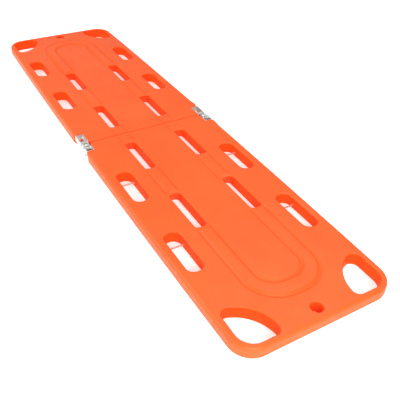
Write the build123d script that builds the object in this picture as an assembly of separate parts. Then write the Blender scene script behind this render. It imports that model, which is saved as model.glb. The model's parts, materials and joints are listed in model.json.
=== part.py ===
"""Folding spine board: two hollow plastic halves joined by a link hinge in each side notch.

The board lies along Y with its foot half at -Y and its head half at +Y. X is its width, Z is up,
and the origin is on the ground under the middle of the seam. All sizes are in millimetres.
"""

import os
from collections import namedtuple

from build123d import *

# The whole board
LENGTH = 1840.0
SEAM_WIDTH = 462.0
END_WIDTH = 444.0
CORNER_RADIUS = 61.0
RUNNER_HEIGHT = 9.0
PLATE_THICKNESS = 39.0
PLATE_TOP = RUNNER_HEIGHT + PLATE_THICKNESS
EDGE_RADIUS = 11.0

# The hollow inside each half
SIDE_WALL = 7.0
FACE_WALL = 3.5
OPENING_WALL = 4.0
CAVITY_RADIUS = 8.0
NOTCH_BLOCK_X = 174.5
NOTCH_BLOCK_MARGIN = 16.0

# The gap between the halves, and the hinge axes on each side of it
SEAM_GAP = 0.4
PIVOT_Y = 18.0
PIVOT_Z = PLATE_TOP - 10.0
LIP_CLEARANCE = 0.2

# What differs between the halves, all along Y from the seam: the spans of the hand slots and the
# strap slots, the places of the strap pins in the hand slots, and the end of the hinge notch
Layout = namedtuple("Layout", "hand_slots strap_slots strap_pins notch_end")
FOOT_LAYOUT = Layout(
    hand_slots=((200.5, 352.0), (506.0, 658.5)),
    strap_slots=((59.5, 217.5), (363.0, 521.0)),
    strap_pins=(241.0, 545.0),
    notch_end=46.0,
)
HEAD_LAYOUT = Layout(
    hand_slots=((239.5, 379.5), (535.5, 673.0)),
    strap_slots=((56.0, 214.0), (362.5, 510.5)),
    strap_pins=(264.0, 560.0),
    notch_end=62.0,
)

# Hand slots along the sides
OUTER_SLOT_X = (155.0, 201.0)
OUTER_SLOT_RADIUS = 21.5

# Strap slots in the raised ring
INNER_SLOT_X = (71.5, 106.0)
INNER_SLOT_RADIUS = 10.0

# Corner handholds: two straight sides and one bowed side that faces the middle of the board
HANDHOLD_SIDE_X = 204.0
HANDHOLD_END_Y = 903.5
HANDHOLD_INNER_X = 108.0
HANDHOLD_SEAM_Y = 785.5
HANDHOLD_BOW = (133.4, 822.4)
HANDHOLD_RADII = (42.0, 17.0, 19.0)

# The tether hole near each end
TETHER_HOLE_Y = 885.0
TETHER_HOLE_RADIUS = 15.0

RIM_TOP_RADIUS = 4.5
SLOT_RIM_BOTTOM_RADIUS = 7.0
HANDHOLD_RIM_BOTTOM_RADIUS = 4.5
TETHER_RIM_RADIUS = 3.0

# The raised ring on the top face
RING_HEIGHT = 2.0
RING_OUTER_X = 106.0
RING_INNER_X = 66.5
RING_OUTER_Y = 828.0
RING_INNER_Y = 781.0
RING_OUTER_RADIUS = 92.0
RING_INNER_RADIUS = 54.0
RING_END_Y = 12.0
RING_END_RADIUS = 6.0
RING_EDGE_RADIUS = 1.6
RING_SLOT_MARGIN = 7.0

# Runners under the board
SIDE_RUNNER_X = 130.0
SIDE_RUNNER_WIDTH = 24.0
SIDE_RUNNER_SPAN = (66.0, 764.0)
END_RUNNER_Y = 806.0
END_RUNNER_SIZE = (176.0, 24.0)
RUNNER_EDGE_RADIUS = 3.0

# Strap pins moulded across the hand slots
STRAP_PIN_RADIUS = 2.5
STRAP_PIN_Z = RUNNER_HEIGHT + 0.5 * PLATE_THICKNESS
STRAP_PIN_EMBED = 9.0
STRAP_PIN_BLOCK = 20.0

# The side notch that holds the hinge
NOTCH_X = 202.5
NOTCH_CORNER_RADIUS = 1.4
NOTCH_FLARE_RADIUS = 8.0
SEAM_CORNER_RADIUS = 12.0

# Stamped hinge brackets
STEEL = 2.5
BRACKET_OUTER_X = 228.0
BRACKET_END_GAP = 1.5
BRACKET_NOSE_RADIUS = 8.5
INNER_LEG_BOX = (14.0, 46.5)
OUTER_LEG_BOX = (27.0, 46.5)
LEG_BOX_START = 30.5
LEG_CORNER_RADIUS = 2.0

# Pivot bolts, washers and inserts
PIVOT_RADIUS = 4.0
PIVOT_CLEARANCE = 0.05
PIVOT_HEAD_RADIUS = 7.0
PIVOT_HEAD_HEIGHT = 3.0
PIVOT_HEX_FLATS = 5.0
PIVOT_THREAD_DEPTH = 15.0
PIVOT_INSERT_RADIUS = 5.5
PIVOT_INSERT_DEPTH = 18.0
WASHER_RADIUS = 7.5
WASHER_THICKNESS = 0.8

# Screws that hold the brackets
SCREW_RADIUS = 3.0
SCREW_HEAD_RADIUS = 5.0
SCREW_HEAD_HEIGHT = 3.0
SCREW_HEX_FLATS = 4.0
SCREW_THREAD_DEPTH = 11.0
SCREW_INSERT_RADIUS = 4.5
SCREW_INSERT_DEPTH = 14.0
SCREW_END_GAP = 9.5
SCREW_HEIGHTS = (35.5, 20.0)

# Links between the two pivots
LINK_INNER_X = 206.0
LINK_OUTER_X = 225.0
LINK_NOSE_RADIUS = 8.5
SPACER_RADIUS = 6.5
LINK_RIVET_RADIUS = 3.0
LINK_RIVET_HEAD = 0.4

# Sliding lock bolt, its guide on the foot half and its keeper on the head half
LOCK_X = 214.0
LOCK_Z = 20.5
LOCK_ROD_RADIUS = 4.0
LOCK_CLEARANCE = 0.08
LOCK_BLOCK_HALF = 6.5
LOCK_BLOCK_SPAN = (8.0, 30.0)
LOCK_ROD_SPAN = (9.0, 41.0)
LOCK_TRAVEL = 24.0
LOCK_KNOB_Y = 25.5
LOCK_KNOB_STEM = 2.0
LOCK_KNOB_RADIUS = 4.0
LOCK_KNOB_X = (223.5, 229.5)
LOCK_SLOT_PLAY = 0.4
LOCK_BLOCK_EDGE = 1.5

# Plug in the moulding vent on the underside
VENT_Y = 110.0
VENT_RADIUS = 6.0
VENT_STEM_DEPTH = 8.0
VENT_PLUG_PLAY = 0.05
VENT_CAP_RADIUS = 9.0
VENT_CAP_HEIGHT = 1.6

PAST = 10.0


def head(shape):
    """The same piece on the head half."""
    return mirror(shape, about=Plane.XZ)


def left(shape):
    """The same piece on the left side."""
    return mirror(shape, about=Plane.YZ)


def across(outline, x_from, x_to):
    """A YZ outline, drawn as (y, z), turned into a solid between two places along X."""
    placed = Plane(origin=(x_from, 0, 0), x_dir=(0, 1, 0), z_dir=(1, 0, 0)) * outline
    return extrude(placed, amount=x_to - x_from, dir=(1, 0, 0))


def rod(radius, x_from, x_to, y, z):
    """A round bar along X."""
    return across(Pos(y, z) * Circle(radius), x_from, x_to)


def slab(face, z_from, z_to):
    """A plan face turned into a plate between two heights."""
    return extrude(Pos(0, 0, z_from) * face, amount=z_to - z_from)


def rounded_window(x_span, y_span, radius):
    """A rounded rectangle on the foot half, from its spans across X and along -Y."""
    width = x_span[1] - x_span[0]
    length = y_span[1] - y_span[0]
    centre = Pos(0.5 * sum(x_span), -0.5 * sum(y_span))
    return centre * RectangleRounded(width, length, radius)


def grown(window, margin):
    """A plan face with its outline moved out."""
    return offset(window, amount=margin)


def handhold_window():
    """The outline of the right corner handhold on the foot half."""
    corner = (HANDHOLD_SIDE_X, -HANDHOLD_END_Y)
    inner = (HANDHOLD_INNER_X, -HANDHOLD_END_Y)
    seamward = (HANDHOLD_SIDE_X, -HANDHOLD_SEAM_Y)
    bow = (HANDHOLD_BOW[0], -HANDHOLD_BOW[1])
    outline = Line(corner, inner) + ThreePointArc(inner, bow, seamward) + Line(seamward, corner)
    window = make_face(outline)
    for place, radius in zip((corner, inner, seamward), HANDHOLD_RADII):
        vertex = window.vertices().sort_by_distance(Vector(*place))[0]
        window = fillet(vertex, radius)
    return window


def both_sides(windows):
    return windows + [left(window) for window in windows]


def slot_windows(layout):
    """The hand slots and strap slots on both sides of a half."""
    windows = [rounded_window(OUTER_SLOT_X, span, OUTER_SLOT_RADIUS) for span in layout.hand_slots]
    windows += [rounded_window(INNER_SLOT_X, span, INNER_SLOT_RADIUS) for span in layout.strap_slots]
    return both_sides(windows)


def handhold_windows():
    return both_sides([handhold_window()])


def tether_window():
    return Pos(0, -TETHER_HOLE_Y) * Circle(TETHER_HOLE_RADIUS)


def plan(inset, seam_inset, corner_radius):
    """The plan of the foot half, moved in by an inset on the outside and at the seam."""
    seam_y = -0.5 * SEAM_GAP - seam_inset
    end_y = -0.5 * LENGTH + inset
    half_seam = 0.5 * SEAM_WIDTH - inset
    half_end = 0.5 * END_WIDTH - inset
    half_middle = half_seam - 0.25 * (half_seam - half_end)
    outline = Line((-half_seam, seam_y), (half_seam, seam_y))
    outline += ThreePointArc((half_seam, seam_y), (half_middle, 0.5 * end_y), (half_end, end_y))
    outline += Line((half_end, end_y), (-half_end, end_y))
    outline += ThreePointArc((-half_end, end_y), (-half_middle, 0.5 * end_y), (-half_seam, seam_y))
    face = make_face(outline)
    corners = face.vertices().sort_by(Axis.Y)[:2]
    return fillet(corners, corner_radius)


def outer_edges(body, at_top):
    """The edges round the top or bottom of the foot half, without the one at the seam."""
    rim = body.faces().sort_by(Axis.Z)[-1 if at_top else 0]
    return [edge for edge in rim.edges() if edge.center().Y < -SEAM_GAP]


def plate():
    body = slab(plan(0.0, 0.0, CORNER_RADIUS), RUNNER_HEIGHT, PLATE_TOP)
    edges = outer_edges(body, True) + outer_edges(body, False)
    return fillet(edges, EDGE_RADIUS)


def ring(layout):
    """The raised ring, broken by the strap slots and stopping short of the seam."""
    outer_end = RING_OUTER_Y + RING_OUTER_RADIUS
    outer = Pos(0, 0.5 * (outer_end - 2 * RING_OUTER_Y)) * RectangleRounded(
        2 * RING_OUTER_X, outer_end, RING_OUTER_RADIUS
    )
    inner_end = RING_INNER_Y + RING_OUTER_RADIUS
    inner = Pos(0, 0.5 * (inner_end - 2 * RING_INNER_Y)) * RectangleRounded(
        2 * RING_INNER_X, inner_end, RING_INNER_RADIUS
    )
    seam_side = Pos(0, 0.5 * LENGTH - RING_END_Y) * Rectangle(SEAM_WIDTH, LENGTH)
    band = outer - inner - seam_side
    for window in slot_windows(layout):
        band -= grown(window, RING_SLOT_MARGIN)
    pieces = slab(band, PLATE_TOP - RING_HEIGHT, PLATE_TOP + RING_HEIGHT)
    top_edges = pieces.edges().filter_by_position(
        Axis.Z, PLATE_TOP + RING_HEIGHT - LIP_CLEARANCE, PLATE_TOP + RING_HEIGHT + LIP_CLEARANCE
    )
    return fillet(top_edges, RING_EDGE_RADIUS)


def runners():
    """Two long runners and one across the end, which the board stands on."""
    length = SIDE_RUNNER_SPAN[1] - SIDE_RUNNER_SPAN[0]
    right_face = Pos(SIDE_RUNNER_X, -0.5 * sum(SIDE_RUNNER_SPAN)) * RectangleRounded(
        SIDE_RUNNER_WIDTH, length, 0.45 * SIDE_RUNNER_WIDTH
    )
    across_face = Pos(0, -END_RUNNER_Y) * RectangleRounded(
        END_RUNNER_SIZE[0], END_RUNNER_SIZE[1], 0.45 * END_RUNNER_SIZE[1]
    )
    solids = []
    for face in (right_face, left(right_face), across_face):
        runner = slab(face, 0.0, RUNNER_HEIGHT + 1.0)
        solids.append(fillet(runner.faces().sort_by(Axis.Z)[0].edges(), RUNNER_EDGE_RADIUS))
    return solids


def notch_cutter(layout):
    """Cuts the right side notch, with its rounded seam corner and flared mouth."""
    seam_y = -0.5 * SEAM_GAP
    end_y = -layout.notch_end
    far_x = 0.5 * SEAM_WIDTH + PAST
    corner_x = NOTCH_X - SEAM_CORNER_RADIUS
    flare_x = 0.5 * SEAM_WIDTH - NOTCH_FLARE_RADIUS
    outline = Line((far_x, PAST), (corner_x, PAST))
    outline += Line((corner_x, PAST), (corner_x, seam_y))
    outline += RadiusArc(
        (corner_x, seam_y), (NOTCH_X, seam_y - SEAM_CORNER_RADIUS), SEAM_CORNER_RADIUS
    )
    outline += Line((NOTCH_X, seam_y - SEAM_CORNER_RADIUS), (NOTCH_X, end_y + NOTCH_CORNER_RADIUS))
    outline += RadiusArc(
        (NOTCH_X, end_y + NOTCH_CORNER_RADIUS),
        (NOTCH_X + NOTCH_CORNER_RADIUS, end_y),
        -NOTCH_CORNER_RADIUS,
    )
    outline += Line((NOTCH_X + NOTCH_CORNER_RADIUS, end_y), (flare_x, end_y))
    outline += RadiusArc(
        (flare_x, end_y),
        (flare_x + NOTCH_FLARE_RADIUS, end_y - NOTCH_FLARE_RADIUS),
        NOTCH_FLARE_RADIUS,
    )
    outline += Line(
        (flare_x + NOTCH_FLARE_RADIUS, end_y - NOTCH_FLARE_RADIUS),
        (far_x, end_y - NOTCH_FLARE_RADIUS),
    )
    outline += Line((far_x, end_y - NOTCH_FLARE_RADIUS), (far_x, PAST))
    return slab(make_face(outline), RUNNER_HEIGHT - PAST, PLATE_TOP + PAST)


def seam_relief():
    """Cuts the lip above the hinge axis to an arc about that axis, so that the half can swing."""
    lip_radius = PIVOT_Y - LIP_CLEARANCE
    over = Pos(-PIVOT_Y + lip_radius, PIVOT_Z + lip_radius) * Rectangle(2 * lip_radius, 2 * lip_radius)
    keep = Pos(-PIVOT_Y, PIVOT_Z) * Circle(lip_radius)
    return across(over - keep, -0.5 * SEAM_WIDTH - PAST, 0.5 * SEAM_WIDTH + PAST)


def cavity(layout):
    """The hollow inside the foot half, kept clear of every opening, the pins and the hinge."""
    low = RUNNER_HEIGHT + FACE_WALL
    high = PLATE_TOP - FACE_WALL
    body = slab(plan(SIDE_WALL, SIDE_WALL + SEAM_CORNER_RADIUS, CORNER_RADIUS - SIDE_WALL), low, high)
    body = fillet(outer_edges(body, True) + outer_edges(body, False), CAVITY_RADIUS)
    for window in slot_windows(layout) + handhold_windows() + [tether_window()]:
        body -= slab(grown(window, OPENING_WALL), low - PAST, high + PAST)
    block_end = layout.notch_end + NOTCH_BLOCK_MARGIN
    block = Pos(NOTCH_BLOCK_X + 50.0, 0) * Rectangle(100.0, 2 * block_end)
    body -= slab(block, low - PAST, high + PAST)
    body -= slab(left(block), low - PAST, high + PAST)
    slot_middle = 0.5 * sum(OUTER_SLOT_X)
    for pin_y in layout.strap_pins:
        boss = Pos(slot_middle, -pin_y) * Rectangle(100.0, STRAP_PIN_BLOCK)
        body -= slab(boss, low - PAST, high + PAST)
        body -= slab(left(boss), low - PAST, high + PAST)
    return body.solids().sort_by(SortBy.VOLUME)[-1]


def rim_edges(body, windows, height):
    """The edges of the openings that lie at one height."""
    at_height = body.edges().filter_by_position(Axis.Z, height - 0.01, height + 0.01)
    found = []
    for window in windows:
        box = grown(window, 1.0).bounding_box()
        for edge in at_height:
            spot = edge.center()
            if box.min.X < spot.X < box.max.X and box.min.Y < spot.Y < box.max.Y:
                found.append(edge)
    return found


def screw_places(layout):
    """The Y and Z of the two screws in the right notch wall."""
    return [(layout.notch_end - SCREW_END_GAP, height) for height in SCREW_HEIGHTS]


def right_insert_holes(layout):
    """The pockets in the right notch wall that hold the threaded inserts."""
    holes = [rod(PIVOT_INSERT_RADIUS, NOTCH_X - PIVOT_INSERT_DEPTH, NOTCH_X + 1.0, -PIVOT_Y, PIVOT_Z)]
    for y, z in screw_places(layout):
        holes.append(rod(SCREW_INSERT_RADIUS, NOTCH_X - SCREW_INSERT_DEPTH, NOTCH_X + 1.0, -y, z))
    return holes


def right_strap_pins(layout):
    """Two bars, one across each hand slot on the right side of a half."""
    x_from = OUTER_SLOT_X[0] - STRAP_PIN_EMBED
    x_to = OUTER_SLOT_X[1] + STRAP_PIN_EMBED
    return [rod(STRAP_PIN_RADIUS, x_from, x_to, -pin_y, STRAP_PIN_Z) for pin_y in layout.strap_pins]


def open_plate(layout):
    """The solid plate with its openings and their rounded rims."""
    slots = slot_windows(layout)
    handholds = handhold_windows()
    tether = [tether_window()]
    body = plate()
    for window in slots + handholds + tether:
        body -= slab(window, RUNNER_HEIGHT - PAST, PLATE_TOP + PAST)
    body = fillet(rim_edges(body, slots + handholds, PLATE_TOP), RIM_TOP_RADIUS)
    body = fillet(rim_edges(body, slots, RUNNER_HEIGHT), SLOT_RIM_BOTTOM_RADIUS)
    body = fillet(rim_edges(body, handholds, RUNNER_HEIGHT), HANDHOLD_RIM_BOTTOM_RADIUS)
    tether_edges = rim_edges(body, tether, PLATE_TOP) + rim_edges(body, tether, RUNNER_HEIGHT)
    return fillet(tether_edges, TETHER_RIM_RADIUS)


def half_shell(layout):
    """The hollow moulding of a half, as it lies on the foot half."""
    body = open_plate(layout)
    body += ring(layout)
    for runner in runners():
        body += runner
    body -= notch_cutter(layout)
    body -= left(notch_cutter(layout))
    body -= seam_relief()
    body -= cavity(layout)
    body -= Pos(0, -VENT_Y, RUNNER_HEIGHT) * Cylinder(VENT_RADIUS, 4 * FACE_WALL)
    for hole in right_insert_holes(layout) + right_strap_pins(layout):
        body -= hole
        body -= left(hole)
    return body.solids().sort_by(SortBy.VOLUME)[-1]


def leg_outline(box_z, end_y):
    """The side of a bracket leg: a box by the notch end drawn in to a round nose at the pivot."""
    nose = Pos(-PIVOT_Y, PIVOT_Z) * Circle(BRACKET_NOSE_RADIUS)
    middle = Pos(-0.5 * (LEG_BOX_START + end_y), 0.5 * sum(box_z))
    box = middle * RectangleRounded(end_y - LEG_BOX_START, box_z[1] - box_z[0], LEG_CORNER_RADIUS)
    return make_hull(nose.edges() + box.edges())


def bracket(layout):
    """The stamped bracket in the right notch of a half."""
    end_y = layout.notch_end - BRACKET_END_GAP
    inner = across(leg_outline(INNER_LEG_BOX, end_y), NOTCH_X, NOTCH_X + STEEL)
    outer = across(leg_outline(OUTER_LEG_BOX, end_y), BRACKET_OUTER_X - STEEL, BRACKET_OUTER_X)
    web_depth = BRACKET_OUTER_X - NOTCH_X
    web_height = OUTER_LEG_BOX[1] - OUTER_LEG_BOX[0] - 2 * LEG_CORNER_RADIUS
    web_middle = (NOTCH_X + 0.5 * web_depth, 0.5 * STEEL - end_y, 0.5 * sum(OUTER_LEG_BOX))
    web = Pos(*web_middle) * Box(web_depth, STEEL, web_height)
    body = inner + outer + web
    body -= rod(PIVOT_RADIUS, NOTCH_X - PAST, BRACKET_OUTER_X + PAST, -PIVOT_Y, PIVOT_Z)
    for y, z in screw_places(layout):
        body -= rod(SCREW_RADIUS, NOTCH_X - PAST, NOTCH_X + PAST, -y, z)
    return body


def hex_socket(flats, x_mouth, depth, y, z):
    """The hexagon pocket of a screw head that faces +X."""
    hexagon = Pos(y, z) * RegularPolygon(0.5 * flats, 6, major_radius=False)
    return across(hexagon, x_mouth - depth, x_mouth + 1.0)


def headed_screw(radius, head_radius, head_height, x_tip, x_seat, y, z):
    """A screw along X with a domed edge on its head, which faces +X."""
    cap = rod(head_radius, x_seat, x_seat + head_height, y, z)
    cap = fillet(cap.edges().sort_by(Axis.X)[-1], 0.6 * head_height)
    return rod(radius, x_tip, x_seat, y, z) + cap


def pivot_bolt():
    x_tip = NOTCH_X - PIVOT_THREAD_DEPTH
    body = headed_screw(
        PIVOT_RADIUS, PIVOT_HEAD_RADIUS, PIVOT_HEAD_HEIGHT, x_tip, BRACKET_OUTER_X, -PIVOT_Y, PIVOT_Z
    )
    x_mouth = BRACKET_OUTER_X + PIVOT_HEAD_HEIGHT
    return body - hex_socket(PIVOT_HEX_FLATS, x_mouth, 2.0, -PIVOT_Y, PIVOT_Z)


def bracket_screws(layout):
    """The two screws that hold the right bracket of a half."""
    screws = []
    x_seat = NOTCH_X + STEEL
    for y, z in screw_places(layout):
        x_tip = NOTCH_X - SCREW_THREAD_DEPTH
        body = headed_screw(SCREW_RADIUS, SCREW_HEAD_RADIUS, SCREW_HEAD_HEIGHT, x_tip, x_seat, -y, z)
        screws.append(body - hex_socket(SCREW_HEX_FLATS, x_seat + SCREW_HEAD_HEIGHT, 1.8, -y, z))
    return screws


def screw_inserts(layout):
    """The two small threaded inserts in the right notch wall of a half."""
    inserts = []
    for y, z in screw_places(layout):
        sleeve = rod(SCREW_INSERT_RADIUS, NOTCH_X - SCREW_INSERT_DEPTH, NOTCH_X, -y, z)
        inserts.append(sleeve - rod(SCREW_RADIUS, NOTCH_X - SCREW_THREAD_DEPTH, NOTCH_X + 1.0, -y, z))
    return inserts


def pivot_insert():
    sleeve = rod(PIVOT_INSERT_RADIUS, NOTCH_X - PIVOT_INSERT_DEPTH, NOTCH_X, -PIVOT_Y, PIVOT_Z)
    return sleeve - rod(PIVOT_RADIUS, NOTCH_X - PIVOT_THREAD_DEPTH, NOTCH_X + 1.0, -PIVOT_Y, PIVOT_Z)


def pivot_washers():
    """The plastic washer on each side of the right link, on the foot pivot."""
    washers = []
    for x_from in (NOTCH_X + STEEL, BRACKET_OUTER_X - STEEL - 0.5 * WASHER_THICKNESS):
        thickness = WASHER_THICKNESS if x_from < LOCK_X else 0.5 * WASHER_THICKNESS
        disc = rod(WASHER_RADIUS, x_from, x_from + thickness, -PIVOT_Y, PIVOT_Z)
        bore = rod(PIVOT_RADIUS, x_from - 1.0, x_from + 2.0, -PIVOT_Y, PIVOT_Z)
        washers.append(disc - bore)
    return washers


def link_plate(x_from):
    """One plate of the right link, round at both pivots."""
    noses = [Pos(y, PIVOT_Z) * Circle(LINK_NOSE_RADIUS) for y in (-PIVOT_Y, PIVOT_Y)]
    outline = make_hull(noses[0].edges() + noses[1].edges())
    for y in (-PIVOT_Y, PIVOT_Y):
        outline -= Pos(y, PIVOT_Z) * Circle(PIVOT_RADIUS + PIVOT_CLEARANCE)
    outline -= Pos(0, PIVOT_Z) * Circle(LINK_RIVET_RADIUS)
    return across(outline, x_from, x_from + STEEL)


def link_spacers():
    """The tubes that hold the two plates of the right link apart, one on each pivot."""
    tubes = []
    for y in (-PIVOT_Y, PIVOT_Y):
        tube = rod(SPACER_RADIUS, LINK_INNER_X + STEEL, LINK_OUTER_X - STEEL, y, PIVOT_Z)
        bore = rod(PIVOT_RADIUS + PIVOT_CLEARANCE, LINK_INNER_X, LINK_OUTER_X, y, PIVOT_Z)
        tubes.append(tube - bore)
    return tubes


def link_rivet():
    """The shouldered rivet that ties the two plates of the right link between the pivots."""
    pin = rod(LINK_RIVET_RADIUS, LINK_INNER_X - LINK_RIVET_HEAD, LINK_OUTER_X + LINK_RIVET_HEAD, 0, PIVOT_Z)
    shoulder = rod(1.6 * LINK_RIVET_RADIUS, LINK_INNER_X + STEEL, LINK_OUTER_X - STEEL, 0, PIVOT_Z)
    return pin + shoulder


def lock_block():
    """The block on the right foot bracket that the lock bolt runs in."""
    length = LOCK_BLOCK_SPAN[1] - LOCK_BLOCK_SPAN[0]
    x_from = NOTCH_X + STEEL
    x_to = LOCK_X + LOCK_BLOCK_HALF
    middle = (0.5 * (x_from + x_to), -0.5 * sum(LOCK_BLOCK_SPAN), LOCK_Z)
    body = Pos(*middle) * Box(x_to - x_from, length, 2 * LOCK_BLOCK_HALF)
    body = fillet(body.faces().sort_by(Axis.X)[-1].edges(), LOCK_BLOCK_EDGE)
    bore = Cylinder(LOCK_ROD_RADIUS + LOCK_CLEARANCE, length + PAST, rotation=(90, 0, 0))
    return body - Pos(LOCK_X, middle[1], LOCK_Z) * bore


def lock_guide():
    """The lock block with the slot that its knob runs in."""
    slot_half = LOCK_KNOB_STEM + LOCK_SLOT_PLAY
    y_back = -LOCK_KNOB_Y - slot_half
    y_front = -LOCK_KNOB_Y + LOCK_TRAVEL + slot_half + PAST
    slot = Pos(LOCK_X + 0.5 * PAST, 0.5 * (y_back + y_front), LOCK_Z) * Box(
        PAST, y_front - y_back, 2 * slot_half
    )
    return lock_block() - slot


def lock_rod():
    length = LOCK_ROD_SPAN[1] - LOCK_ROD_SPAN[0]
    bar = Cylinder(LOCK_ROD_RADIUS, length, rotation=(90, 0, 0))
    bar = chamfer(bar.edges().sort_by(Axis.Y)[-1], 1.0)
    bar = Pos(LOCK_X, -0.5 * sum(LOCK_ROD_SPAN), LOCK_Z) * bar
    return bar - rod(LOCK_KNOB_STEM, LOCK_X, LOCK_X + PAST, -LOCK_KNOB_Y, LOCK_Z)


def lock_knob():
    stem = rod(LOCK_KNOB_STEM, LOCK_X, LOCK_KNOB_X[0], -LOCK_KNOB_Y, LOCK_Z)
    grip = rod(LOCK_KNOB_RADIUS, LOCK_KNOB_X[0], LOCK_KNOB_X[1], -LOCK_KNOB_Y, LOCK_Z)
    return stem + fillet(grip.edges().sort_by(Axis.X)[-1], 1.5)


def vent_plug():
    upward = (Align.CENTER, Align.CENTER, Align.MIN)
    downward = (Align.CENTER, Align.CENTER, Align.MAX)
    stem = Cylinder(VENT_RADIUS - VENT_PLUG_PLAY, VENT_STEM_DEPTH, align=upward)
    cap = Cylinder(VENT_CAP_RADIUS, VENT_CAP_HEIGHT, align=downward)
    cap = fillet(cap.edges().sort_by(Axis.Z)[0], 0.6 * VENT_CAP_HEIGHT)
    return Pos(0, -VENT_Y, RUNNER_HEIGHT) * (stem + cap)


def pair(pieces):
    """The right pieces with their left copies, as one group."""
    return Compound(children=pieces + [left(piece) for piece in pieces])


def half_nodes(layout):
    """The pieces that both halves have, as they lie on the foot half."""
    return {
        "half_shell": half_shell(layout),
        "strap_pins": pair(right_strap_pins(layout)),
        "right_bracket": bracket(layout),
        "left_bracket": left(bracket(layout)),
        "bracket_screws": pair(bracket_screws(layout)),
        "screw_inserts": pair(screw_inserts(layout)),
        "pivot_bolts": pair([pivot_bolt()]),
        "pivot_inserts": pair([pivot_insert()]),
        "pivot_washers": pair(pivot_washers()),
        "vent_plug": vent_plug(),
    }


def hinge_nodes():
    """The links, and the lock pieces, which the two halves don't share."""
    return {
        "right_link_inner_plate": link_plate(LINK_INNER_X),
        "right_link_outer_plate": link_plate(LINK_OUTER_X - STEEL),
        "left_link_inner_plate": left(link_plate(LINK_INNER_X)),
        "left_link_outer_plate": left(link_plate(LINK_OUTER_X - STEEL)),
        "link_spacers": pair(link_spacers()),
        "link_rivets": pair([link_rivet()]),
        "right_lock_guide": lock_guide(),
        "left_lock_guide": left(lock_guide()),
        "right_lock_keeper": head(lock_block()),
        "left_lock_keeper": left(head(lock_block())),
        "right_lock_bolt": lock_rod(),
        "left_lock_bolt": left(lock_rod()),
        "right_lock_knob": lock_knob(),
        "left_lock_knob": left(lock_knob()),
    }


def main():
    os.makedirs("parts", exist_ok=True)
    nodes = hinge_nodes()
    for name, shape in half_nodes(FOOT_LAYOUT).items():
        nodes["foot_" + name] = shape
    for name, shape in half_nodes(HEAD_LAYOUT).items():
        nodes["head_" + name] = head(shape)
    for name, shape in nodes.items():
        export_step(shape, "parts/" + name + ".step")


main()
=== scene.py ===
"""Looks of the folding spine board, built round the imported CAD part.

The CAD's hinge, pins and plugs stay and get materials. The two hollow halves are shown by moulded
skins made here, with the same outlines and openings. Sizes are in millimetres, as in the CAD,
unless a comment says otherwise.
"""

import json
import math

import bmesh
import bpy
import numpy as np
from mathutils import Matrix, Vector
from mathutils.geometry import delaunay_2d_cdt


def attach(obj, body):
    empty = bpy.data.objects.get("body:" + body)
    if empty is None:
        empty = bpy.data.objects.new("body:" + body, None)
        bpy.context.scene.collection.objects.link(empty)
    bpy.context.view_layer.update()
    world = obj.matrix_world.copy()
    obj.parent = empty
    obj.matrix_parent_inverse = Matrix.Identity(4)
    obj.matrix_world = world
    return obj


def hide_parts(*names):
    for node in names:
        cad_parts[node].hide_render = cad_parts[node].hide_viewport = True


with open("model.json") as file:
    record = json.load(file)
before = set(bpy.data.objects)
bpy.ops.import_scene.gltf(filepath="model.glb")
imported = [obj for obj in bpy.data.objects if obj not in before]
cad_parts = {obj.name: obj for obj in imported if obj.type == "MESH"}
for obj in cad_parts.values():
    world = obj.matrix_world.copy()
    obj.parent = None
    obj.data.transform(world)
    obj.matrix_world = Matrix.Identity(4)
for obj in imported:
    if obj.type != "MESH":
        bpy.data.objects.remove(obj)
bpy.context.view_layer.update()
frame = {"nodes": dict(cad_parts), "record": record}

MM = 0.001

# Edges of the CAD's pieces are shown smooth up to this angle, in degrees
SMOOTH_ANGLE = 32

# Camera, in metres and degrees; the angle is across the picture's width
CAMERA_AT = (-0.6647, -1.4461, 0.9803)
CAMERA_LOOKS_AT = (-0.0388, -0.4245, 0.0480)
CAMERA_ROLL = 2.4386
CAMERA_ANGLE = 40.398

# Levels of the plate
BOTTOM = 9.0
TOP = 48.0
PARTING = 28.5
PARTING_REACH = 1.0
PARTING_BULGE = 0.15

# Outline of one half, drawn for the foot half, which lies at -Y
SEAM_Y = -0.2
END_Y = -920.0
SEAM_HALF_WIDTH = 231.0
END_HALF_WIDTH = 222.0
SIDE_BOW = 2.25
SIDE_SPAN = (-830.0, -120.0)
SIDE_POINTS = 9
END_CORNER_RADIUS = 61.0
NOTCH_X = 202.5
NOTCH_Y = {"foot": -46.0, "head": -62.0}
NOTCH_FLARE_RADIUS = 15.0
NOTCH_CORNER_RADIUS = 1.4
SEAM_CORNER_RADIUS = 12.0

# Openings on the right side: x spans, corner radii, and each half's y spans, drawn for the foot end
HAND_SLOT_X = (155.0, 201.0)
HAND_SLOT_RADIUS = 21.5
STRAP_SLOT_X = (71.5, 106.0)
STRAP_SLOT_RADIUS = 10.0
SLOT_SPANS = {
    "foot": {
        "hand": ((-352.0, -200.5), (-658.5, -506.0)),
        "strap": ((-217.5, -59.5), (-521.0, -363.0)),
    },
    "head": {
        "hand": ((-379.5, -239.5), (-673.0, -535.5)),
        "strap": ((-214.0, -56.0), (-510.5, -362.5)),
    },
}

# Right corner handhold: its outer, end, inner and seam limits, a point on its bow, and the radii of
# its outer, inner and seam corners
HANDHOLD_SIDE_X = 204.0
HANDHOLD_END_Y = -903.5
HANDHOLD_INNER_X = 108.0
HANDHOLD_SEAM_Y = -785.5
HANDHOLD_BOW = (133.4, -822.4)
HANDHOLD_RADII = (42.0, 17.0, 19.0)

# Round hole near the end
TETHER_Y = -885.0
TETHER_RADIUS = 15.0

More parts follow.
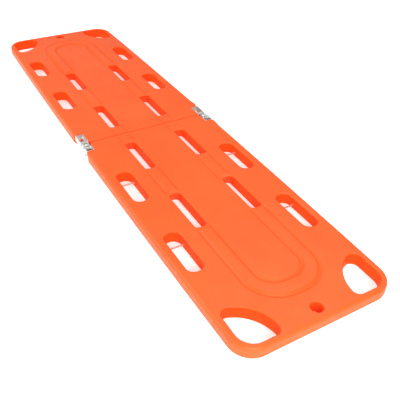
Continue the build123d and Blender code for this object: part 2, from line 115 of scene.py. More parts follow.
# Edge roundings: the outer edge, the notch's edges, where one fades into the other, and the seam's,
# whose lip is given by the inset and height of each level
EDGE_PLAN = 11.0
EDGE_RISE = 11.0
NOTCH_TOP_EDGE = 2.5
NOTCH_BOTTOM_EDGE = 9.0
EDGE_FADE = 54.0
EDGE_FADE_SHARE = 0.6
SEAM_BOTTOM_EDGE = 2.0
SEAM_LIP = ((0.0, 38.0), (0.18, 40.5), (0.72, 43.0), (1.4, 45.0), (2.02, 46.4), (2.5, 47.2),
            (2.82, 47.65), (3.1, 47.9), (3.45, 48.0))

# Walls of the openings: width and depth of the top rim, rounding and lengthening at the bottom
HAND_SLOT_WALL = (8.0, 5.5, 7.0, 0.0)
STRAP_SLOT_WALL = (7.0, 5.0, 7.0, 13.0)
HANDHOLD_WALL = (4.5, 5.0, 4.5, 0.0)
TETHER_WALL = (5.0, 4.5, 4.5, 3.0)
FLARE_TOP = 43.0

# Raised ring on the top face: half width, end and corner radius of its two edges, its end at the
# seam, the strip at the seam that stays flat, its section, and the lines of its mesh
RING_OUTER = (106.0, -828.0, 92.0)
RING_INNER = (66.5, -781.0, 54.0)
RING_SEAM_Y = -12.0
RING_FREE_Y = -6.0
RING_SEAM_RADIUS = 6.0
RING_HEIGHT = 2.0
RING_HALF_WIDTH = 19.75
RING_CROWN = 3.2
CREASE_DEPTH = 3.4
CREASE_WIDTH = 4.6
CREASE_FADE = 9.0
RING_LINES = (-8.5, -6.2, -4.4, -2.9, -1.4, 0.0, 1.4, 2.9, 4.4, 6.2, 8.5)
RING_MARGIN = 14.0
RING_GRID = 3.2
RIM_LINES = (1.2, 2.6, 4.2, 6.2, 8.8)

# Runners under the board: middle, size, corner radius
RUNNERS = (
    ((130.0, -415.0), (24.0, 698.0)),
    ((-130.0, -415.0), (24.0, 698.0)),
    ((0.0, -806.0), (176.0, 24.0)),
)
RUNNER_RADIUS = 10.8
RUNNER_EDGE = 3.0
RUNNER_FOOT = 2.0

# Fineness of the meshes
ARC_STEP = 2.2
LINE_STEP = 9.0
RING_STEP = 3.0
FLAT_GRID = 14.0
BORDER_GAP = 0.7
SAME_POINT = 1e-5
MERGE_REACH = 0.02
SLIVER_REACH = 0.001
FAR = 1e9

# Each half, and the side of the seam it lies on
HALVES = (("foot", 1.0), ("head", -1.0))


def unit(v):
    """The vector shortened or lengthened to 1."""
    return v / np.linalg.norm(v)


def subdivided(loop, step):
    """A closed loop with points added on its long runs."""
    points = []
    for here, there in zip(loop, np.roll(loop, -1, axis=0)):
        count = max(1, math.ceil(np.linalg.norm(there - here) / step - 1e-6))
        for i in range(count):
            points.append(here + (there - here) * i / count)
    return np.array(points)


def arc(centre, start, end):
    """Points on the shorter arc about a centre from one point to another."""
    first = start - centre
    last = end - centre
    angle = math.atan2(first[0] * last[1] - first[1] * last[0], first @ last)
    count = max(2, math.ceil(abs(angle) * np.linalg.norm(first) / ARC_STEP))
    begin = math.atan2(first[1], first[0])
    turns = begin + angle * np.linspace(0, 1, count + 1)
    radius = np.linalg.norm(first)
    return centre + radius * np.column_stack([np.cos(turns), np.sin(turns)])


def rounded(corners, radii, step=LINE_STEP):
    """A closed loop round some corners, each with its own rounding, 0 for none."""
    corners = np.array(corners, float)
    loop = []
    for i, radius in enumerate(radii):
        here = corners[i]
        back = unit(corners[i - 1] - here)
        on = unit(corners[(i + 1) % len(corners)] - here)
        if radius == 0:
            loop.append(here[None])
            continue
        half = 0.5 * math.acos(back @ on)
        reach = radius / math.tan(half)
        centre = here + unit(back + on) * radius / math.sin(half)
        loop.append(arc(centre, here + back * reach, here + on * reach))
    return subdivided(np.vstack(loop), step)


def outward(loop):
    """How far each point of a counterclockwise loop moves when the loop grows by 1."""
    ahead = np.roll(loop, -1, axis=0) - loop
    ahead /= np.linalg.norm(ahead, axis=1)[:, None]
    after = np.column_stack([ahead[:, 1], -ahead[:, 0]])
    both = after + np.roll(after, 1, axis=0)
    both /= np.linalg.norm(both, axis=1)[:, None]
    return both / (both * after).sum(1)[:, None]


def mirrored(loop):
    """The loop on the other side of the board, still counterclockwise."""
    return (loop * (-1, 1))[::-1]


def box_loop(x_span, y_span, radius):
    """A rectangle's loop with rounded corners."""
    (left, right), (low, high) = x_span, y_span
    corners = [(left, low), (right, low), (right, high), (left, high)]
    return rounded(corners, [radius] * 4)


def circle_loop(centre, radius):
    """A circle's loop, counterclockwise."""
    count = math.ceil(2 * math.pi * radius / ARC_STEP)
    turns = np.linspace(0, 2 * math.pi, count, endpoint=False)
    return np.array(centre) + radius * np.column_stack([np.cos(turns), np.sin(turns)])


def circumcentre(a, b, c):
    """The centre of the circle through three points."""
    a, b, c = (np.array(p, float) for p in (a, b, c))
    sides = 2 * np.array([b - a, c - a])
    return np.linalg.solve(sides, [b @ b - a @ a, c @ c - a @ a])


def handhold_loop():
    """The right corner handhold: a straight outer side, a straight end side and a bowed side."""
    corner = np.array([HANDHOLD_SIDE_X, HANDHOLD_END_Y])
    inner = (HANDHOLD_INNER_X, HANDHOLD_END_Y)
    seamward = (HANDHOLD_SIDE_X, HANDHOLD_SEAM_Y)
    bow = circumcentre(inner, HANDHOLD_BOW, seamward)
    bow_radius = np.linalg.norm(bow - inner)
    corner_r, inner_r, seam_r = HANDHOLD_RADII
    inner_y = HANDHOLD_END_Y + inner_r
    inner_reach = math.sqrt((bow_radius - inner_r) ** 2 - (inner_y - bow[1]) ** 2)
    inner_mid = np.array([bow[0] - inner_reach, inner_y])
    seam_x = HANDHOLD_SIDE_X - seam_r
    seam_reach = math.sqrt((bow_radius - seam_r) ** 2 - (seam_x - bow[0]) ** 2)
    seam_mid = np.array([seam_x, bow[1] + seam_reach])
    bow_from = bow + unit(seam_mid - bow) * bow_radius
    bow_to = bow + unit(inner_mid - bow) * bow_radius
    corner_mid = corner + (-corner_r, corner_r)
    pieces = [
        arc(corner_mid, corner_mid + (0, -corner_r), corner_mid + (corner_r, 0)),
        arc(seam_mid, seam_mid + (seam_r, 0), bow_from),
        arc(bow, bow_from, bow_to)[1:-1],
        arc(inner_mid, bow_to, inner_mid + (0, -inner_r)),
    ]
    return subdivided(np.vstack(pieces), LINE_STEP)


def openings(half):
    """Every opening of a half: its counterclockwise loop and the shape of its wall."""
    spans = SLOT_SPANS[half]
    right = []
    for span in spans["hand"]:
        right.append((box_loop(HAND_SLOT_X, span, HAND_SLOT_RADIUS), HAND_SLOT_WALL))
    for span in spans["strap"]:
        right.append((box_loop(STRAP_SLOT_X, span, STRAP_SLOT_RADIUS), STRAP_SLOT_WALL))
    right.append((handhold_loop(), HANDHOLD_WALL))
    left = [(mirrored(loop), wall) for loop, wall in right]
    return right + left + [(circle_loop((0, TETHER_Y), TETHER_RADIUS), TETHER_WALL)]


def side_x(y):
    """Half of the board's width at a place along it, from seam to end."""
    t = y / END_Y
    return SEAM_HALF_WIDTH + (END_HALF_WIDTH - SEAM_HALF_WIDTH) * t + 4 * SIDE_BOW * t * (1 - t)


def outline(notch_y):
    """The outline of a half, counterclockwise from the middle of its end."""
    side = [(side_x(y), y) for y in np.linspace(*SIDE_SPAN, SIDE_POINTS)]
    corners = [(0, END_Y), (END_HALF_WIDTH, END_Y)] + side
    corners += [(side_x(notch_y), notch_y), (NOTCH_X, notch_y), (NOTCH_X, SEAM_Y), (0, SEAM_Y)]
    radii = [0, END_CORNER_RADIUS] + [0] * len(side)
    radii += [NOTCH_FLARE_RADIUS, NOTCH_CORNER_RADIUS, SEAM_CORNER_RADIUS, 0]
    left = [(-x, y) for x, y in corners[-2:0:-1]]
    return rounded(corners + left, radii + radii[-2:0:-1])


def quarter(plan, rise):
    """Insets and rises of a quarter round, from its flat side to its upright side.

    It has as many levels as the seam's lip, so that one profile can fade into another.
    """
    turns = np.linspace(0, 0.5 * math.pi, len(SEAM_LIP))
    return plan * (1 - np.sin(turns)), rise * (1 - np.cos(turns))


def parting_line(bulge):
    """The middle levels of a wall, where the mould's halves met."""
    return [(0.0, PARTING - PARTING_REACH), (bulge, PARTING), (0.0, PARTING + PARTING_REACH)]


def wall_profile(bottom, top):
    """Inset and height of each level of an outer wall, from the bottom face to the top face."""
    low_inset, low_up = quarter(*bottom)
    high_inset, high_up = quarter(*top)
    middle = parting_line(PARTING_BULGE)
    low = list(zip(low_inset, BOTTOM + low_up))
    high = list(zip(high_inset[::-1], TOP - high_up[::-1]))
    return np.array(low + middle + high)


def seam_profile():
    """Inset and height of each level of the wall at the seam."""
    inset, up = quarter(SEAM_BOTTOM_EDGE, SEAM_BOTTOM_EDGE)
    return np.array(list(zip(inset, BOTTOM + up)) + parting_line(0.0) + list(SEAM_LIP))


def smooth(value, low, high):
    """0 up to low and 1 from high on, with a soft change between them."""
    t = np.clip((value - low) / (high - low), 0, 1)
    return t * t * (3 - 2 * t)


def outline_levels(loop, notch_y):
    """The outline's loop at each level of its wall.

    The wall is rounded outside and crisp in the notches, and has a lip at the seam.
    """
    x = np.abs(loop[:, 0])
    y = loop[:, 1]
    fade = EDGE_FADE_SHARE * smooth(y, notch_y - EDGE_FADE, notch_y - NOTCH_FLARE_RADIUS)
    outside = 1 - fade - (1 - EDGE_FADE_SHARE) * smooth(y, notch_y - NOTCH_FLARE_RADIUS, notch_y)
    seam = np.where(x < NOTCH_X + 0.01, smooth(y, SEAM_Y - SEAM_CORNER_RADIUS, SEAM_Y), 0)
    outer = wall_profile((EDGE_PLAN, EDGE_RISE), (EDGE_PLAN, EDGE_RISE))
    notch = wall_profile((NOTCH_BOTTOM_EDGE, NOTCH_BOTTOM_EDGE), (NOTCH_TOP_EDGE, NOTCH_TOP_EDGE))
    lip = seam_profile()
    out = outward(loop)
    levels = []
    for i in range(len(outer)):
        wall = outside[:, None] * outer[i] + (1 - outside)[:, None] * notch[i]
        both = (1 - seam)[:, None] * wall + seam[:, None] * lip[i]
        levels.append(np.column_stack([loop - out * both[:, :1], both[:, 1]]))
    return levels


def opening_levels(loop, wall):
    """An opening's loop at each level of its wall, from the bottom face to the top face.

    The wall has a rim at the top, a rounding at the bottom, and a flare that lengthens the opening
    towards the bottom.
    """
    top_width, top_depth, bottom_rim, flare = wall
    out = outward(loop)
    middle = 0.5 * (loop[:, 1].min() + loop[:, 1].max())
    off = loop[:, 1] - middle
    along = np.sign(off) * smooth(np.abs(off), 0.0, np.ptp(loop[:, 1]) / 2)
    low, low_up = quarter(bottom_rim, bottom_rim)
    high, high_up = quarter(top_width, top_depth)
    grow = np.concatenate([low, high[::-1]])
    heights = np.concatenate([BOTTOM + low_up, TOP - high_up[::-1]])
    levels = []
    for g, z in zip(grow, heights):
        longer = flare * (1 - smooth(z, BOTTOM, FLARE_TOP)) * along
        plan = loop + out * g + np.outer(longer, (0, 1))
        levels.append(np.column_stack([plan, np.full(len(loop), z)]))
    return levels


def runner_loops():
    """The loops of the runners, where they meet the bottom face."""
    loops = []
    for (x, y), (width, length) in RUNNERS:
        x_span = (x - 0.5 * width, x + 0.5 * width)
        y_span = (y - 0.5 * length, y + 0.5 * length)
        loops.append(box_loop(x_span, y_span, RUNNER_RADIUS))
    return loops


def runner_levels(loop):
    """A runner's loop at each level, from the bottom face down to the ground."""
    out = outward(loop)
    foot, foot_up = quarter(RUNNER_FOOT, RUNNER_FOOT)
    edge, edge_up = quarter(RUNNER_EDGE, RUNNER_EDGE)
    grow = np.concatenate([foot, -edge[::-1]])
    heights = np.concatenate([BOTTOM - foot_up, edge_up[::-1]])
    return [np.column_stack([loop + out * g, np.full(len(loop), z)]) for g, z in zip(grow, heights)]


def inside(points, loop):
    """Which points are inside a loop."""
    x, y = points[:, 0], points[:, 1]
    found = np.zeros(len(points), bool)
    for (ax, ay), (bx, by) in zip(loop, np.roll(loop, -1, axis=0)):
        if ay == by:
            continue
        crosses = (ay > y) != (by > y)
        found ^= crosses & (x < ax + (y - ay) * (bx - ax) / (by - ay))
    return found


def distance(points, loop):
    """Distance from each point to a loop."""
    best = np.full(len(points), FAR)
    for a, b in zip(loop, np.roll(loop, -1, axis=0)):
        run = b - a
        t = np.clip(((points - a) @ run) / (run @ run), 0, 1)
        best = np.minimum(best, np.linalg.norm(points - a - t[:, None] * run, axis=1))
    return best


def ring_loop():
    """The edge of the raised ring, which opens towards the seam."""
    outer_x, outer_y, outer_r = RING_OUTER
    inner_x, inner_y, inner_r = RING_INNER
    seam_y = RING_SEAM_Y
    corners = [(-outer_x, seam_y), (-outer_x, outer_y), (outer_x, outer_y), (outer_x, seam_y)]
    corners += [(inner_x, seam_y), (inner_x, inner_y), (-inner_x, inner_y), (-inner_x, seam_y)]
    tip = RING_SEAM_RADIUS
    radii = [tip, outer_r, outer_r, tip, tip, inner_r, inner_r, tip]
    return rounded(corners, radii, RING_STEP)


def depth_in_ring(points, ring, rims):
    """How far each point is inside the ring and clear of the strap slots' rims."""
    depth = distance(points, ring) * np.where(inside(points, ring), 1, -1)
    clear = np.full(len(points), FAR)
    for rim in rims:
        clear = np.minimum(clear, distance(points, rim) * np.where(inside(points, rim), -1, 1))
    return depth, clear


def ring_height(points, ring, rims):
    """Height of the crowned ring and its creases above the top face."""
    depth, clear = depth_in_ring(points, ring, rims)
    nearest = np.minimum(depth, clear)
    share = np.clip(nearest / RING_HALF_WIDTH, 0, 1)
    crown = RING_HEIGHT * (1 - (1 - share) ** RING_CROWN)
    crease = CREASE_DEPTH * np.exp(-((depth / CREASE_WIDTH) ** 2)) * smooth(clear, 0, CREASE_FADE)
    return crown - crease


def ring_points(ring, rims, borders):
    """Mesh points that follow the ring's edge, fill the ring and ring the strap slots."""
    out = outward(ring)
    spots = [ring - out * d for d in RING_LINES]
    low, high = ring.min(0), ring.max(0)
    grid = grid_points(low, high, RING_GRID)
    depth, clear = depth_in_ring(grid, ring, rims)
    spots.append(grid[(depth > RING_LINES[-1] + 1.0) & (clear > RIM_LINES[-1] + 1.0)])
    for rim in rims:
        rim_out = outward(rim)
        for d in RIM_LINES:
            loop = rim + rim_out * d
            spots.append(loop[inside(loop, ring - out * RING_LINES[-1])])
    spots = np.vstack(spots)
    keep = np.ones(len(spots), bool)
    for border in borders:
        keep &= distance(spots, border) > BORDER_GAP
    return spots[keep]


def grid_points(low, high, step):
    """The points of a square grid between two corners."""
    xs = np.arange(low[0] + 0.5 * step, high[0], step)
    ys = np.arange(low[1] + 0.5 * step, high[1], step)
    return np.array([(x, y) for x in xs for y in ys])


def cell(point):
    """The cell of the wide grid that a point lies in."""
    return int(point[0] // FLAT_GRID), int(point[1] // FLAT_GRID)


def flat_points(edge, holes, taken):
    """A wide grid over the rest of a face, away from its edges and from other points."""
    grid = grid_points(edge.min(0), edge.max(0), FLAT_GRID)
    keep = inside(grid, edge) & (distance(grid, edge) > 0.5 * FLAT_GRID)
    for hole in holes:
        keep &= ~inside(grid, hole) & (distance(grid, hole) > 0.4 * FLAT_GRID)
    cells = {cell(point) for point in taken}
    keep &= np.array([cell(point) not in cells for point in grid])
    return grid[keep]


def face_mesh(edge, holes, extra):
    """Points and triangles that fill a face between its edge and its holes."""
    points, links, filled = [], [], []
    for loop in [edge] + holes:
        first = len(points)
        points.extend(loop)
        sides = [(first + i, first + (i + 1) % len(loop)) for i in range(len(loop))]
        links.extend(sides)
        filled.extend(sides if first == 0 else [(b, a) for a, b in sides])
    points.extend(extra)
    made = delaunay_2d_cdt([Vector(p) for p in points], links, [], 0, SAME_POINT)
    spots = np.array([tuple(v) for v in made[0]])
    faces = np.array(made[2])
    middles = spots[faces].mean(1)
    keep = inside(middles, edge)
    for hole in holes:
        keep &= ~inside(middles, hole)
    settle_slivers(keep, faces, [origin[0] for origin in made[3]], set(filled))
    return spots, faces[keep]


def settle_slivers(keep, faces, origins, filled):
    """Triangles that touch a border are kept by the side of it they lie on, even the thinnest."""
    emptied = {(b, a) for a, b in filled}
    for row, (a, b, c) in enumerate(faces):
        a, b, c = origins[a], origins[b], origins[c]
        sides = {(a, b), (b, c), (c, a)}
        if sides & filled:
            keep[row] = True
        elif sides & emptied:
            keep[row] = False


class Skin:
    """Collects the vertices and faces of one closed skin."""

    def __init__(self):
        self.vertices = []
        self.faces = []

    def add(self, vertices, faces):
        """Adds faces, numbered from the first of their own vertices."""
        first = len(self.vertices)
        self.vertices.extend(tuple(v) for v in vertices)
        self.faces.extend(tuple(int(i) + first for i in face) for face in faces)

    def strips(self, levels):
        """A wall that joins each level's loop to the next."""
        count = len(levels[0])
        faces = []
        for low in range(0, (len(levels) - 1) * count, count):
            high = low + count
            for i in range(count):
                j = (i + 1) % count
                faces.append((low + i, low + j, high + j, high + i))
        self.add(np.vstack(levels), faces)

    def finish(self, name, flip):
        """The mesh object, turned over to the head half if flip is -1."""
        mesh = bpy.data.meshes.new(name)
        mesh.from_pydata(np.array(self.vertices) * (MM, flip * MM, MM), [], self.faces)
        work = bmesh.new()
        work.from_mesh(mesh)
        bmesh.ops.remove_doubles(work, verts=work.verts, dist=MERGE_REACH * MM)
        bmesh.ops.dissolve_degenerate(work, edges=work.edges, dist=SLIVER_REACH * MM)
        bmesh.ops.recalc_face_normals(work, faces=work.faces)
        open_edges = sum(not edge.is_manifold for edge in work.edges)
        print(name, len(work.verts), "vertices,", open_edges, "open edges")
        work.to_mesh(mesh)
        work.free()
        made = bpy.data.objects.new(name, mesh)
        bpy.context.scene.collection.objects.link(made)
        return made


def half_skin(half):
    """The outer skin of a half, drawn at the foot end."""
    skin = Skin()
    walls = outline_levels(outline(NOTCH_Y[half]), NOTCH_Y[half])
    cut = openings(half)
    holes = [opening_levels(loop, wall) for loop, wall in cut]
    for levels in [walls] + holes:
        skin.strips(levels)
    top_edge = walls[-1][:, :2]
    top_holes = [levels[-1][:, :2] for levels in holes]
    ring = ring_loop()
    slot_rims = [rim for rim, (_, wall) in zip(top_holes, cut) if wall == STRAP_SLOT_WALL]
    extra = ring_points(ring, slot_rims, [top_edge] + top_holes)
    extra = np.vstack([extra, flat_points(top_edge, top_holes, extra)])
    spots, faces = face_mesh(top_edge, top_holes, extra)
    heights = np.zeros(len(spots))
    near = np.abs(spots[:, 0]) < RING_OUTER[0] + RING_MARGIN
    near &= (spots[:, 1] > RING_OUTER[1] - RING_MARGIN) & (spots[:, 1] < RING_FREE_Y)
    heights[near] = ring_height(spots[near], ring, slot_rims)
    skin.add(np.column_stack([spots, TOP + heights]), faces)
    add_underside(skin, walls[0][:, :2], [levels[0][:, :2] for levels in holes])
    return skin


def add_underside(skin, edge, holes):
    """The bottom face, with its runners."""
    runners = [runner_levels(loop) for loop in runner_loops()]
    holes = holes + [levels[0][:, :2] for levels in runners]
    spots, faces = face_mesh(edge, holes, flat_points(edge, holes, []))
    skin.add(np.column_stack([spots, np.full(len(spots), BOTTOM)]), faces)
    for levels in runners:
        skin.strips(levels)
        skin.add(levels[-1], [range(len(levels[-1]))])


def weighted_normals(piece):
    """Flat faces keep their own normals and the roundings between them stay smooth."""
    piece.data.shade_smooth()
    modifier = piece.modifiers.new("normals", "WEIGHTED_NORMAL")
    modifier.keep_sharp = True


# Materials

# Scale and detail of each noise, and the strength and depth in metres of the bumps
MOTTLE = (9.0, 4.0)
MOTTLE_SPAN = (0.35, 0.65)
GLOSS = (60.0, 3.0)
WAVES = (14.0, 1.0)
WAVES_BUMP = (0.5, 0.0012)
GRAIN = (900.0, 3.0)
GRAIN_BUMP = (0.35, 0.00012)
SMALL_GRAIN = (700.0, 3.0)
SMALL_GRAIN_BUMP = (0.3, 0.0001)
SMALL_GRAIN_SHADE = 0.85
SMALL_GRAIN_ROUGH = 0.06
DRAWN_LINES = (500.0, 4.0)
DRAWN_LINES_BUMP = (0.12, 0.00003)
DRAWN_LINES_SHADE = 0.92
STEEL_METALLIC = 0.85
NOISE_SPAN = (0.3, 0.7)
WHITE = (1, 1, 1, 1)

# The mix node's colour sockets, which share their names with its other sockets
MIX_FIRST, MIX_SECOND, MIX_RESULT = 6, 7, 2

# Where the inner walls' painted shade begins and is full: facing, and in metres across, along,
# from the seam and towards the corners
WALL_FACING = (0.95, 0.15)
WALL_ACROSS = (0.2115, 0.2095)
WALL_ALONG = (0.912, 0.909)
WALL_SEAM = (0.004, 0.007)
WALL_CORNER = (1.099, 1.093)
WALL_SPECULAR = 0.04


def new_material(name):
    """A material with its nodes, its links and its shader."""
    material = bpy.data.materials.new(name)
    material.use_nodes = True
    nodes = material.node_tree.nodes
    return material, nodes, material.node_tree.links, nodes["Principled BSDF"]


def noise(nodes, links, kind, stretch=None):
    """Noise in the object's own frame, stretched if asked."""
    scale, detail = kind
    place = nodes.new("ShaderNodeTexCoord")
    texture = nodes.new("ShaderNodeTexNoise")
    texture.inputs["Scale"].default_value = scale
    texture.inputs["Detail"].default_value = detail
    source = place.outputs["Object"]
    if stretch:
        mapping = nodes.new("ShaderNodeMapping")
        mapping.inputs["Scale"].default_value = stretch
        links.new(source, mapping.inputs["Vector"])
        source = mapping.outputs["Vector"]
    links.new(source, texture.inputs["Vector"])
    return texture.outputs["Fac"]


def ramp(nodes, links, source, dark, light, span=NOISE_SPAN):
    """A colour that runs from dark to light while its source runs over a span."""
    node = nodes.new("ShaderNodeValToRGB")
    for element, place, colour in zip(node.color_ramp.elements, span, (dark, light)):
        element.position = place
        element.color = (*colour, 1.0)
    links.new(source, node.inputs["Fac"])
    return node.outputs["Color"]


def spread(nodes, links, source, low, high, span=NOISE_SPAN):
    """A value that runs from low to high while its source runs over a span."""
    node = nodes.new("ShaderNodeMapRange")
    node.inputs["From Min"].default_value = span[0]
    node.inputs["From Max"].default_value = span[1]
    node.inputs["To Min"].default_value = low
    node.inputs["To Max"].default_value = high
    links.new(source, node.inputs["Value"])
    return node.outputs["Result"]


def bump(nodes, links, source, size, before=None):
    """The normal of a bump of some strength and depth, on top of another bump if there is one."""
    node = nodes.new("ShaderNodeBump")
    node.inputs["Strength"].default_value, node.inputs["Distance"].default_value = size
    links.new(source, node.inputs["Height"])
    if before is not None:
        links.new(before, node.inputs["Normal"])
    return node.outputs["Normal"]


def inner_wall(nodes, links):
    """1 on the upright walls of the openings and notches, where shade is painted, 0 on the faces,
    outer sides and seam.
    """
    place = nodes.new("ShaderNodeTexCoord")
    facing = nodes.new("ShaderNodeSeparateXYZ")
    links.new(place.outputs["Normal"], facing.inputs["Vector"])
    up = math_node(nodes, links, "ABSOLUTE", facing.outputs["Z"])
    wall = threshold(nodes, links, up, WALL_FACING)
    spot = nodes.new("ShaderNodeSeparateXYZ")
    links.new(place.outputs["Object"], spot.inputs["Vector"])
    across = math_node(nodes, links, "ABSOLUTE", spot.outputs["X"])
    along = math_node(nodes, links, "ABSOLUTE", spot.outputs["Y"])
    both = math_node(nodes, links, "ADD", across, along)
    limits = ((across, WALL_ACROSS), (along, WALL_ALONG), (along, WALL_SEAM), (both, WALL_CORNER))
    for source, limit in limits:
        wall = math_node(nodes, links, "MULTIPLY", wall, threshold(nodes, links, source, limit))
    return wall


def math_node(nodes, links, operation, *sources):
    """The result of a sum, a product or the like of one or two values."""
    node = nodes.new("ShaderNodeMath")
    node.operation = operation
    for source, socket in zip(sources, node.inputs):
        links.new(source, socket)
    return node.outputs["Value"]


def threshold(nodes, links, source, limit):
    """0 up to one value and 1 from another, smooth between them."""
    node = nodes.new("ShaderNodeMapRange")
    node.interpolation_type = "SMOOTHSTEP"
    node.inputs["From Min"].default_value = limit[0]
    node.inputs["From Max"].default_value = limit[1]
    links.new(source, node.inputs["Value"])
    return node.outputs["Result"]


def blend_colours(nodes, links, share, one, other):
    """A colour that goes from one to the other by a share."""
    node = nodes.new("ShaderNodeMix")
    node.data_type = "RGBA"
    links.new(share, node.inputs["Factor"])
    links.new(one, node.inputs[MIX_FIRST])
    node.inputs[MIX_SECOND].default_value = (*other, 1.0)
    return node.outputs[MIX_RESULT]


def moulded_plastic(name, dark, light, painted_wall_shade, rough, specular):
    """Moulded polyethylene: faint mottling, a fine grain, a satin gloss and painted shade, a deeper
    orange, on the inner walls.
    """
    material, nodes, links, shader = new_material(name)
    mottle = ramp(nodes, links, noise(nodes, links, MOTTLE), dark, light, MOTTLE_SPAN)
    wall = inner_wall(nodes, links)
    # Painted shade: the walls of the openings and notches blend to a deeper, darker orange
    links.new(blend_colours(nodes, links, wall, mottle, painted_wall_shade), shader.inputs["Base Color"])
    links.new(spread(nodes, links, noise(nodes, links, GLOSS), *rough), shader.inputs["Roughness"])
    broad = bump(nodes, links, noise(nodes, links, WAVES), WAVES_BUMP)
    grain = bump(nodes, links, noise(nodes, links, GRAIN), GRAIN_BUMP, broad)
    links.new(grain, shader.inputs["Normal"])
    shine = spread(nodes, links, wall, specular, WALL_SPECULAR, (0.0, 1.0))
    links.new(shine, shader.inputs["Specular IOR Level"])
    return material


def brushed_steel(name, base, rough, stretch):
    """Stainless steel with fine drawn lines."""
    material, nodes, links, shader = new_material(name)
    lines = noise(nodes, links, DRAWN_LINES, stretch)
    dark = tuple(DRAWN_LINES_SHADE * c for c in base)
    links.new(ramp(nodes, links, lines, dark, base), shader.inputs["Base Color"])
    links.new(spread(nodes, links, lines, *rough), shader.inputs["Roughness"])
    links.new(bump(nodes, links, lines, DRAWN_LINES_BUMP), shader.inputs["Normal"])
    shader.inputs["Metallic"].default_value = STEEL_METALLIC
    return material


def plain_plastic(name, base, rough):
    """A small turned or moulded plastic part with a matte grain."""
    material, nodes, links, shader = new_material(name)
    grain = noise(nodes, links, SMALL_GRAIN)
    dark = tuple(SMALL_GRAIN_SHADE * c for c in base)
    links.new(ramp(nodes, links, grain, dark, base), shader.inputs["Base Color"])
    low, high = rough - SMALL_GRAIN_ROUGH, rough + SMALL_GRAIN_ROUGH
    links.new(spread(nodes, links, grain, low, high), shader.inputs["Roughness"])
    links.new(bump(nodes, links, grain, SMALL_GRAIN_BUMP), shader.inputs["Normal"])
    return material


# Painted shade: the deeper, darker orange of the walls inside the openings and notches
PAINTED_WALL_SHADE_ORANGE = (0.90, 0.080, 0.009)
ORANGE_SPECULAR = 0.28
ORANGE = moulded_plastic(
    "orange_polyethylene",
    dark=(0.94, 0.108, 0.015),
    light=(0.96, 0.120, 0.019),
    painted_wall_shade=PAINTED_WALL_SHADE_ORANGE,
    rough=(0.42, 0.52),
    specular=ORANGE_SPECULAR,
)
PLUG_ORANGE = moulded_plastic(
    "orange_plug",
    dark=(0.80, 0.085, 0.014),
    light=(0.86, 0.10, 0.018),
    painted_wall_shade=PAINTED_WALL_SHADE_ORANGE,
    rough=(0.42, 0.5),
    specular=ORANGE_SPECULAR,
)

# Steels: colour, roughness span, and how the drawn lines are stretched
SHEET_LINES = (0.2, 0.08, 1.0)
BOLT_LINES = (0.15, 1.0, 1.0)
ROD_LINES = (0.1, 1.0, 1.0)
STEELS = {
    "stainless_sheet": ((0.70, 0.70, 0.68), (0.38, 0.48), SHEET_LINES),
    "stainless_block": ((0.78, 0.77, 0.76), (0.42, 0.52), SHEET_LINES),
    "stainless_rod": ((0.52, 0.49, 0.47), (0.34, 0.44), ROD_LINES),
    "stainless_bolt": ((0.82, 0.82, 0.81), (0.34, 0.44), BOLT_LINES),
    "brass_insert": ((0.78, 0.60, 0.28), (0.24, 0.34), BOLT_LINES),
}

# One material for each slot of the record
MATERIALS = {
    "orange_shell": ORANGE,
    "orange_plug": PLUG_ORANGE,
    **{slot: brushed_steel(slot, *look) for slot, look in STEELS.items()},
    "white_washer": plain_plastic("white_washer", (0.86, 0.86, 0.84), 0.5),
    "grey_knob": plain_plastic("grey_knob", (0.62, 0.62, 0.63), 0.45),
}
# Strap pins: steel tinted orange, a painted reflection of the orange walls around them
PIN_STEEL_PAINTED_REFLECTION = brushed_steel("strap_pin_steel_painted_reflection", (0.66, 0.40, 0.30), (0.34, 0.44), ROD_LINES)


def paint(piece, material):
    piece.data.materials.clear()
    piece.data.materials.append(material)


def paint_cad_nodes():
    """Gives each CAD node the material of its slot, and the strap pins their own, with a painted
    orange reflection.
    """
    for part in frame["record"]["subparts"]:
        node = frame["nodes"][part["node"]]
        paint(node, MATERIALS[part["material_slot"]])
        node.data.set_sharp_from_angle(angle=math.radians(SMOOTH_ANGLE))
    for half, _ in HALVES:
        paint(frame["nodes"][half + "_strap_pins"], PIN_STEEL_PAINTED_REFLECTION)


# Studio: floor, sky, and the place, aim, size and power of each light, in metres and watts
FLOOR_REACH = 9.0
FLOOR_COLOUR = (0.94, 0.94, 0.94, 1)
FLOOR_ROUGHNESS = 0.9
FLOOR_GLOW = 0.46
SKY = 0.43
LIGHTS = {
    "key": ((-1.9, 0.9, 1.7), (0, 0.1, 0), (0.9, 0.9), 34),
    "near": ((-0.6, -2.2, 1.1), (0, -0.65, 0), (1.0, 0.8), 35),
    "top": ((0.8, -0.1, 2.1), (0.1, -0.8, 0), (1.2, 1.2), 16),
    "far": ((0.9, 3.6, 1.3), (0, 0.85, 0), (1.6, 0.9), 2.2),
}


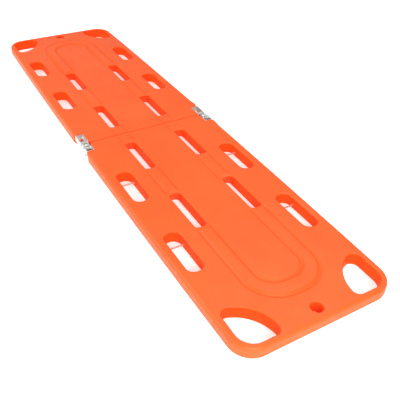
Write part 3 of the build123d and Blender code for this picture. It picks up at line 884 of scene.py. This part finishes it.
def add_camera():
    camera = bpy.data.objects.new("camera", bpy.data.cameras.new("camera"))
    camera.data.sensor_fit = "HORIZONTAL"
    camera.data.angle = math.radians(CAMERA_ANGLE)
    place = Vector(CAMERA_AT)
    turn = (Vector(CAMERA_LOOKS_AT) - place).to_track_quat("-Z", "Y").to_matrix().to_4x4()
    roll = Matrix.Rotation(math.radians(CAMERA_ROLL), 4, "Z")
    camera.matrix_world = Matrix.Translation(place) @ turn @ roll
    bpy.context.scene.collection.objects.link(camera)
    bpy.context.scene.camera = camera


def add_floor():
    """The floor, which glows a little so that it stays as pale as the photo's ground."""
    reach = FLOOR_REACH
    mesh = bpy.data.meshes.new("floor")
    corners = [(-reach, -reach, 0), (reach, -reach, 0), (reach, reach, 0), (-reach, reach, 0)]
    mesh.from_pydata(corners, [], [(0, 1, 2, 3)])
    floor = bpy.data.objects.new("floor", mesh)
    bpy.context.scene.collection.objects.link(floor)
    material, _, _, shader = new_material("pale_floor")
    shader.inputs["Base Color"].default_value = FLOOR_COLOUR
    shader.inputs["Roughness"].default_value = FLOOR_ROUGHNESS
    shader.inputs["Specular IOR Level"].default_value = 0.0
    shader.inputs["Emission Color"].default_value = WHITE
    shader.inputs["Emission Strength"].default_value = FLOOR_GLOW
    paint(floor, material)


def add_light(name, place, looks_at, size, power):
    """A rectangular light aimed at a point."""
    data = bpy.data.lights.new(name, "AREA")
    data.shape = "RECTANGLE"
    data.size, data.size_y = size
    data.energy = power
    light = bpy.data.objects.new(name, data)
    light.location = place
    light.rotation_euler = (Vector(looks_at) - Vector(place)).to_track_quat("-Z", "Y").to_euler()
    bpy.context.scene.collection.objects.link(light)


def add_lights():
    world = bpy.data.worlds.new("studio")
    world.use_nodes = True
    background = world.node_tree.nodes["Background"]
    background.inputs["Color"].default_value = WHITE
    background.inputs["Strength"].default_value = SKY
    bpy.context.scene.world = world
    for name, light in LIGHTS.items():
        add_light(name, *light)
    bpy.context.scene.view_settings.view_transform = "Standard"


add_camera()
paint_cad_nodes()
for half, flip in HALVES:
    shell = half_skin(half).finish(half + "_skin", flip)
    weighted_normals(shell)
    paint(shell, ORANGE)
    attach(shell, half + "_half")
    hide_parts(half + "_half_shell")
add_floor()
add_lights()
